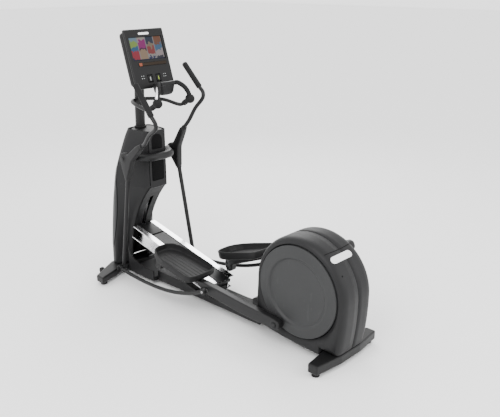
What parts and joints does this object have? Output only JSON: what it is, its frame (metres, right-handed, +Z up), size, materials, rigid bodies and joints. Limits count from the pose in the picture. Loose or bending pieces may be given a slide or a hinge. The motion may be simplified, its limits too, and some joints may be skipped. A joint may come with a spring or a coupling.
{
  "type": "elliptical trainer",
  "caption": "Rear-drive elliptical trainer: drum with crank discs, tilting rail ramp, foot arms with pedals, linked swinging handlebars, tower and tilted screen console.",
  "frame": {"origin": "on the floor under the middle of the machine", "axes": "+Z up, +Y the way the user faces, towards the console tower, +X the user's right"},
  "size_m": [0.79, 2.098, 1.7645],
  "materials": {
    "frame_black": "satin",
    "casting_black": "black powder coat",
    "shell_grey": "fine texture",
    "panel_black": "satin",
    "disc_grey": "fine texture",
    "aluminium": "anodised",
    "steel": "turned",
    "rubber": "matte",
    "pedal_black": "satin",
    "screen_glass": "gloss",
    "cast_iron": "machined"
  },
  "bodies": {
    "frame": {"base_spine": "frame_black", "rear_stabilizer": "frame_black", "front_stabilizer": "frame_black", "left_rear_foot": "rubber", "right_rear_foot": "rubber", "left_front_foot": "rubber", "right_front_foot": "rubber", "upright": "frame_black", "tower_shell_left": "shell_grey", "tower_shell_right": "shell_grey", "tower_rear_panel": "shell_grey", "tower_top_cap": "panel_black", "base_shroud": "shell_grey", "mast": "frame_black", "crossbar": "frame_black", "drive_shroud_left": "shell_grey", "drive_shroud_right": "shell_grey", "console_back": "panel_black", "console_bezel": "panel_black", "screen_panel": "screen_glass", "fixed_handlebar": "frame_black", "left_fixed_grip": "rubber", "right_fixed_grip": "rubber", "accessory_tray": "panel_black", "drive_belt": "rubber", "lift_motor": "panel_black", "lift_screw": "steel"},
    "crank": {"crank_axle": "steel", "left_disc": "disc_grey", "right_disc": "disc_grey", "crank_pulley": "aluminium"},
    "flywheel_body": {"flywheel": "cast_iron"},
    "ramp": {"left_rail": "aluminium", "right_rail": "aluminium", "ramp_cover": "panel_black"},
    "lift_carriage": {"lift_nut": "steel"},
    "left_bearing": {"left_pin_bearing": "steel"},
    "left_foot": {"left_foot_arm": "frame_black", "left_pedal": "pedal_black"},
    "left_roller_body": {"left_roller": "pedal_black"},
    "left_swing": {"left_arm_bracket": "casting_black", "left_handle_tube": "frame_black", "left_grip": "rubber", "left_lower_tube": "frame_black"},
    "left_bush": {"left_rod_bush": "steel"},
    "left_rod_body": {"left_rod": "frame_black"},
    "left_paddle_body": {"left_paddle": "pedal_black"},
    "left_wheel": {"left_transport_wheel": "rubber"},
    "right_bearing": {"right_pin_bearing": "steel"},
    "right_foot": {"right_foot_arm": "frame_black", "right_pedal": "pedal_black"},
    "right_roller_body": {"right_roller": "pedal_black"},
    "right_swing": {"right_arm_bracket": "casting_black", "right_handle_tube": "frame_black", "right_grip": "rubber", "right_lower_tube": "frame_black"},
    "right_bush": {"right_rod_bush": "steel"},
    "right_rod_body": {"right_rod": "frame_black"},
    "right_paddle_body": {"right_paddle": "pedal_black"},
    "right_wheel": {"right_transport_wheel": "rubber"}
  },
  "joints": [
    {"name": "crank_spin", "type": "hinge", "parent": "frame", "child": "crank", "pos_m": [0, -0.724, 0.389], "axis": [1, 0, 0], "range_deg": [-24, 24]},
    {"name": "flywheel_spin", "type": "hinge", "parent": "frame", "child": "flywheel_body", "pos_m": [0, -0.5, 0.19], "axis": [1, 0, 0], "range_deg": [-135, 135]},
    {"name": "ramp_tilt", "type": "hinge", "parent": "frame", "child": "ramp", "pos_m": [0, 0.06, 0.115], "axis": [1, 0, 0], "range_deg": [-3.4, 21.6]},
    {"name": "lift_travel", "type": "slide", "parent": "frame", "child": "lift_carriage", "axis": [0, -0.3665, 0.9304], "range_m": [-0.06, 0.34]},
    {"name": "left_pin_turn", "type": "hinge", "parent": "crank", "child": "left_bearing", "pos_m": [-0.188, -0.61704, 0.16969], "axis": [1, 0, 0], "range_deg": [-26.2, 26.2]},
    {"name": "left_foot_tilt", "type": "hinge", "parent": "left_bearing", "child": "left_foot", "pos_m": [-0.188, -0.61704, 0.16969], "axis": [1, 0, 0], "range_deg": [-2.1, 9]},
    {"name": "left_roller_travel", "type": "slide", "parent": "ramp", "child": "left_roller_body", "axis": [0, 0.9728, 0.2315], "range_m": [-0.1, 0.1]},
    {"name": "left_handlebar_swing", "type": "hinge", "parent": "frame", "child": "left_swing", "pos_m": [-0.208, 0.74, 0.926], "axis": [1, 0, 0], "range_deg": [-7.2, 7.2]},
    {"name": "left_bush_turn", "type": "hinge", "parent": "left_swing", "child": "left_bush", "pos_m": [-0.243, 0.83222, 0.10005], "axis": [1, 0, 0], "range_deg": [-8.7, 8.7]},
    {"name": "left_rod_turn", "type": "hinge", "parent": "left_bush", "child": "left_rod_body", "pos_m": [-0.243, 0.83222, 0.10005], "axis": [1, 0, 0], "range_deg": [-6.2, 1.7]},
    {"name": "right_pin_turn", "type": "hinge", "parent": "crank", "child": "right_bearing", "pos_m": [0.188, -0.83096, 0.60831], "axis": [1, 0, 0], "range_deg": [-23.5, 23.5]},
    {"name": "right_foot_tilt", "type": "hinge", "parent": "right_bearing", "child": "right_foot", "pos_m": [0.188, -0.83096, 0.60831], "axis": [1, 0, 0], "range_deg": [-1.2, 3]},
    {"name": "right_roller_travel", "type": "slide", "parent": "ramp", "child": "right_roller_body", "axis": [0, 0.9728, 0.2315], "range_m": [-0.087, 0.087]},
    {"name": "right_handlebar_swing", "type": "hinge", "parent": "frame", "child": "right_swing", "pos_m": [0.208, 0.74, 0.926], "axis": [1, 0, 0], "range_deg": [-6, 6]},
    {"name": "right_bush_turn", "type": "hinge", "parent": "right_swing", "child": "right_bush", "pos_m": [0.243, 0.53889, 0.11962], "axis": [1, 0, 0], "range_deg": [-9.3, 9.3]},
    {"name": "right_rod_turn", "type": "hinge", "parent": "right_bush", "child": "right_rod_body", "pos_m": [0.243, 0.53889, 0.11962], "axis": [1, 0, 0], "range_deg": [-2.2, 1]},
    {"name": "left_paddle_press", "type": "hinge", "parent": "frame", "child": "left_paddle_body", "pos_m": [-0.034, 0.65743, 1.45012], "axis": [1, 0, 0], "range_deg": [-10, 10], "stiffness_Nm_per_rad": 0.6},
    {"name": "left_wheel_spin", "type": "hinge", "parent": "frame", "child": "left_wheel", "pos_m": [-0.27, 1.0225, 0.033], "axis": [1, 0, 0], "continuous": true},
    {"name": "right_paddle_press", "type": "hinge", "parent": "frame", "child": "right_paddle_body", "pos_m": [0.034, 0.65743, 1.45012], "axis": [1, 0, 0], "range_deg": [-10, 10], "stiffness_Nm_per_rad": 0.6},
    {"name": "right_wheel_spin", "type": "hinge", "parent": "frame", "child": "right_wheel", "pos_m": [0.27, 1.0225, 0.033], "axis": [1, 0, 0], "continuous": true}
  ],
  "couplings": [
    {"joint": "flywheel_spin", "follows": "crank_spin", "ratio": 5.357},
    {"joint": "lift_travel", "follows": "ramp_tilt", "m_per_rad": 0.878},
    {"joint": "left_pin_turn", "follows": "crank_spin", "ratio": -1.0512},
    {"joint": "left_foot_tilt", "follows": "ramp_tilt", "ratio": 0.3793},
    {"joint": "left_roller_travel", "follows": "crank_spin", "m_per_rad": 0.2283},
    {"joint": "left_handlebar_swing", "follows": "crank_spin", "ratio": 0.26},
    {"joint": "left_bush_turn", "follows": "crank_spin", "ratio": -0.3212},
    {"joint": "left_rod_turn", "follows": "ramp_tilt", "ratio": -0.251},
    {"joint": "right_pin_turn", "follows": "crank_spin", "ratio": -0.9365},
    {"joint": "right_foot_tilt", "follows": "ramp_tilt", "ratio": 0.1034},
    {"joint": "right_roller_travel", "follows": "crank_spin", "m_per_rad": -0.1972},
    {"joint": "right_handlebar_swing", "follows": "crank_spin", "ratio": -0.2098},
    {"joint": "right_bush_turn", "follows": "crank_spin", "ratio": 0.3468},
    {"joint": "right_rod_turn", "follows": "ramp_tilt", "ratio": -0.0659}
  ]
}
